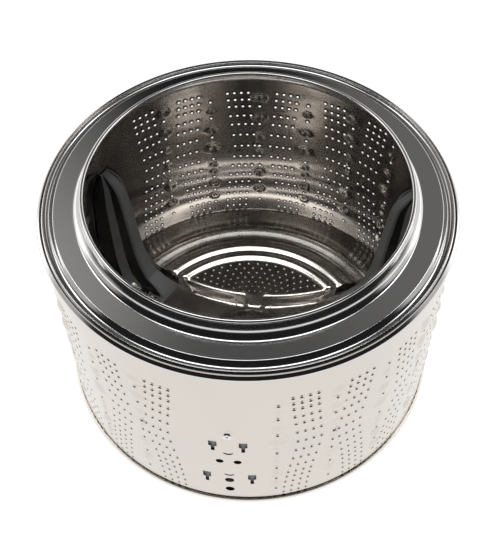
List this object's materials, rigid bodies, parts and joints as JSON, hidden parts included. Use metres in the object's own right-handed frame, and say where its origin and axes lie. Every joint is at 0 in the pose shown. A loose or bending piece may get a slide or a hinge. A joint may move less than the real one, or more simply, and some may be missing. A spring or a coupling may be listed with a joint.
{
  "type": "washing machine drum",
  "caption": "Perforated steel wash drum with ridged front ring, inner paddles, and a rear spider and shaft that spin in a flanged bearing hub.",
  "frame": {"origin": "on the drum's axis, in the front face of the bearing hub's flange, at the centre of its bolt circle", "axes": "+Z along the drum's axis towards the mouth; -Y towards the side where the first lifter stands (6.5 degrees past -Y)"},
  "size_m": [0.4999, 0.5, 0.5202],
  "materials": {
    "drum_steel": "bright satin stainless sheet, perforated",
    "ring_steel": "satin stainless, drawn round",
    "plate_steel": "pressed stainless with warm reflections",
    "lifter_plastic": "moulded dark grey plastic, glossy flanks",
    "screw_steel": "bright plated",
    "spider_cast": "sand-textured casting",
    "bolt_zinc": "zinc plated",
    "shaft_steel": "ground",
    "sleeve_brass": "turned",
    "bearing_steel": "ground and polished",
    "shield_steel": "pressed",
    "seal_rubber": "matte",
    "hub_iron": "cast, grey coated"
  },
  "bodies": {
    "bearing_hub": {"bearing_hub": "hub_iron", "shaft_seal": "seal_rubber", "front_bearing_outer_ring": "bearing_steel", "front_bearing_shields": "shield_steel", "rear_bearing_outer_ring": "bearing_steel", "rear_bearing_shields": "shield_steel"},
    "drum": {"drum_shell": "drum_steel", "front_ring": "ring_steel", "rear_plate": "plate_steel", "lifter_1": "lifter_plastic", "lifter_2": "lifter_plastic", "lifter_3": "lifter_plastic", "lifter_screws": "screw_steel", "spider": "spider_cast", "spider_bolts": "bolt_zinc", "spider_washers": "bolt_zinc", "nut_plates": "bolt_zinc", "shaft": "shaft_steel", "seal_sleeve": "sleeve_brass", "front_bearing_inner_ring": "bearing_steel", "rear_bearing_inner_ring": "bearing_steel"},
    "front_cage": {"front_bearing_balls": "bearing_steel", "front_bearing_cage": "shield_steel"},
    "rear_cage": {"rear_bearing_balls": "bearing_steel", "rear_bearing_cage": "shield_steel"}
  },
  "joints": [
    {"name": "drum_spin", "type": "hinge", "parent": "bearing_hub", "child": "drum", "pos_m": [0, 0, 0], "axis": [0, 0, 1], "continuous": true},
    {"name": "front_cage_spin", "type": "hinge", "parent": "bearing_hub", "child": "front_cage", "pos_m": [0, 0, 0], "axis": [0, 0, 1], "continuous": true},
    {"name": "rear_cage_spin", "type": "hinge", "parent": "bearing_hub", "child": "rear_cage", "pos_m": [0, 0, 0], "axis": [0, 0, 1], "continuous": true}
  ],
  "couplings": [
    {"joint": "front_cage_spin", "follows": "drum_spin", "ratio": 0.39647},
    {"joint": "rear_cage_spin", "follows": "drum_spin", "ratio": 0.39691}
  ]
}
